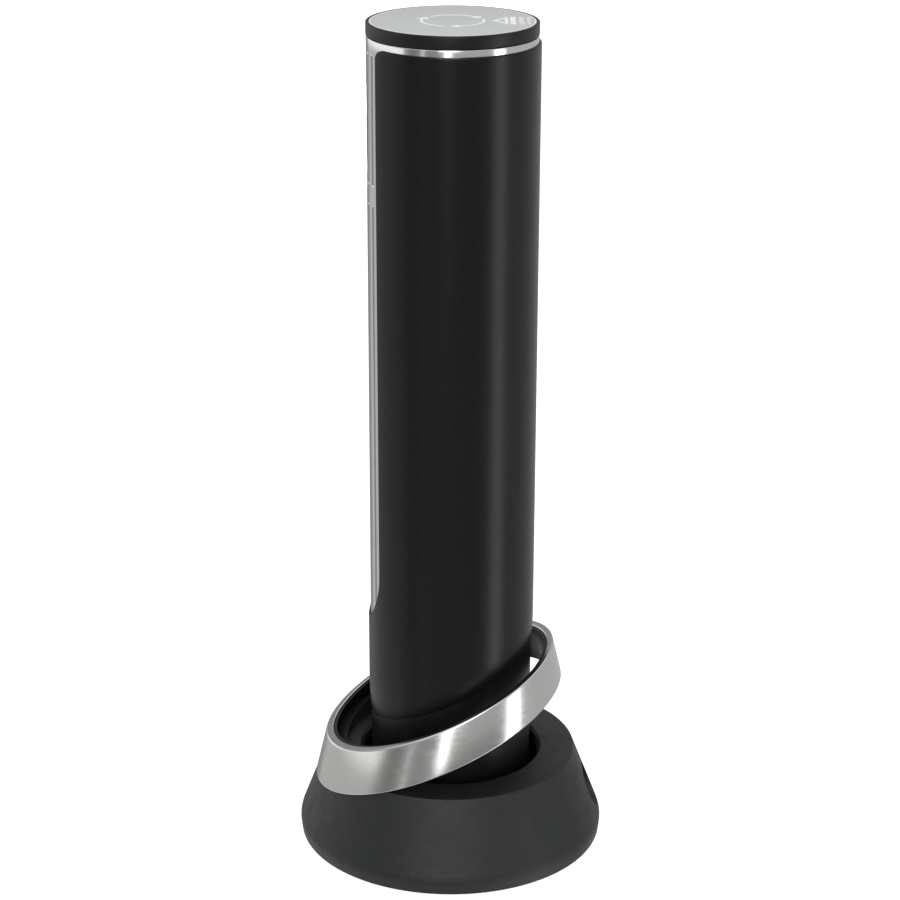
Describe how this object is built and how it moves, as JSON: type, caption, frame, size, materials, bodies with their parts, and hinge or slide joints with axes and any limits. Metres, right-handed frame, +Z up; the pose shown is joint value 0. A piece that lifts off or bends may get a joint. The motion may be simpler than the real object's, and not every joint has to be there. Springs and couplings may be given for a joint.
{
  "type": "electric wine opener",
  "caption": "Cordless cylindrical wine opener with a fluted metal front and turning cap, docked in a conical charging stand with a slanted steel ring.",
  "frame": {"origin": "on the table, at the middle of the stand", "axes": "+Z up along the opener, -Y towards the fluted metal front and the low side of the ring, +Y towards the power inlet"},
  "size_m": [0.0936, 0.0936, 0.2522],
  "materials": {
    "stand_abs": "fine matt moulded grain",
    "ring_steel": "satin polished",
    "tube_steel": "bright polished",
    "soft_black": "soft-touch lacquer over aluminium",
    "black_abs": "satin moulded",
    "cap_abs": "satin moulded",
    "disc_grey": "printed satin disc",
    "rubber": "matt",
    "zinc_steel": "zinc plated",
    "tool_steel": "dark non-stick coated",
    "board_green": "solder mask",
    "spring_steel": "drawn wire",
    "contact_brass": "gold flashed",
    "acetal_white": "moulded acetal",
    "sintered_steel": "sintered",
    "oil_bronze": "sintered bronze",
    "motor_steel": "nickel plated",
    "ferrite": "ground ferrite",
    "winding_copper": "enamelled windings",
    "lead_red": "insulated wire",
    "housing_grey": "moulded",
    "cell_wrap": "shrink sleeve",
    "nickel_strip": "nickel strip",
    "clear_lens": "clear acrylic"
  },
  "bodies": {
    "stand": {"stand_shell": "stand_abs", "stand_ring": "ring_steel", "ring_liner": "black_abs", "well_cup": "black_abs", "bottom_plate": "black_abs", "rubber_feet": "rubber", "base_screws": "zinc_steel", "cup_screws": "zinc_steel", "board_screws": "zinc_steel", "charge_board": "board_green", "power_inlet": "black_abs", "inlet_pin": "nickel_strip", "pin_spring_left": "spring_steel", "pin_spring_right": "spring_steel"},
    "charge_pin_left": {"charge_pin_left": "contact_brass"},
    "charge_pin_right": {"charge_pin_right": "contact_brass"},
    "worm_drive": {"planet_carrier": "sintered_steel", "worm_hub": "sintered_steel", "worm": "tool_steel"},
    "motor_rotor": {"sun_gear": "sintered_steel", "motor_shaft": "motor_steel", "motor_armature": "winding_copper"},
    "planet_1": {"planet_gear_1": "acetal_white"},
    "planet_2": {"planet_gear_2": "acetal_white"},
    "planet_3": {"planet_gear_3": "acetal_white"},
    "rocker": {"rocker_key": "cap_abs"},
    "cap": {"turning_cap": "cap_abs", "cap_disc": "disc_grey"},
    "opener": {"bottle_guide": "black_abs", "cap_seat": "housing_grey", "cell_1": "cell_wrap", "cell_2": "cell_wrap", "cell_3": "cell_wrap", "cell_4": "cell_wrap", "cell_divider": "housing_grey", "cell_links": "nickel_strip", "cell_tray": "housing_grey", "charge_leads": "lead_red", "charge_pads": "contact_brass", "control_board": "board_green", "cork_sleeve": "housing_grey", "gear_retainer": "housing_grey", "gearbox_housing": "housing_grey", "gearbox_screws": "zinc_steel", "inner_housing_left": "housing_grey", "inner_housing_right": "housing_grey", "light_pipe": "clear_lens", "motor_can": "motor_steel", "motor_end_bell": "black_abs", "motor_leads": "lead_red", "motor_magnets": "ferrite", "motor_plate": "motor_steel", "motor_screws": "zinc_steel", "outer_sleeve": "soft_black", "output_bush": "oil_bronze", "ring_gear": "acetal_white", "rocker_pin": "motor_steel", "steel_tube": "tube_steel", "tact_switches": "black_abs"}
  },
  "joints": [
    {"name": "opener_lift", "type": "slide", "parent": "stand", "child": "opener", "axis": [0, 0, 1], "range_m": [0, 0.08]},
    {"name": "worm_spin", "type": "hinge", "parent": "opener", "child": "worm_drive", "pos_m": [0, 0, 0.12], "axis": [0, 0, 1], "continuous": true},
    {"name": "rotor_spin", "type": "hinge", "parent": "opener", "child": "motor_rotor", "pos_m": [0, 0, 0.15], "axis": [0, 0, 1], "continuous": true},
    {"name": "planet_1_spin", "type": "hinge", "parent": "worm_drive", "child": "planet_1", "pos_m": [0.01125, 0, 0.13], "axis": [0, 0, 1], "continuous": true},
    {"name": "planet_2_spin", "type": "hinge", "parent": "worm_drive", "child": "planet_2", "pos_m": [-0.00562, 0.00974, 0.13], "axis": [0, 0, 1], "continuous": true},
    {"name": "planet_3_spin", "type": "hinge", "parent": "worm_drive", "child": "planet_3", "pos_m": [-0.00562, -0.00974, 0.13], "axis": [0, 0, 1], "continuous": true},
    {"name": "rocker_tilt", "type": "hinge", "parent": "opener", "child": "rocker", "pos_m": [0, -0.0212, 0.2197], "axis": [1, 0, 0], "range_deg": [-2.5, 2.5], "stiffness_Nm_per_rad": 0.4},
    {"name": "cap_turn", "type": "hinge", "parent": "opener", "child": "cap", "pos_m": [0, 0, 0.248], "axis": [0, 0, 1], "range_deg": [0, 30]},
    {"name": "pin_left_press", "type": "slide", "parent": "stand", "child": "charge_pin_left", "axis": [0, 0, 1], "range_m": [-0.001, 0], "stiffness_N_per_m": 200, "springref_m": 0.0005, "deforming": ["pin_spring_left"]},
    {"name": "pin_right_press", "type": "slide", "parent": "stand", "child": "charge_pin_right", "axis": [0, 0, 1], "range_m": [-0.001, 0], "stiffness_N_per_m": 200, "springref_m": 0.0005, "deforming": ["pin_spring_right"]}
  ],
  "couplings": [
    {"joint": "rotor_spin", "follows": "worm_spin", "ratio": 4},
    {"joint": "planet_1_spin", "follows": "worm_spin", "ratio": -3},
    {"joint": "planet_2_spin", "follows": "worm_spin", "ratio": -3},
    {"joint": "planet_3_spin", "follows": "worm_spin", "ratio": -3}
  ]
}
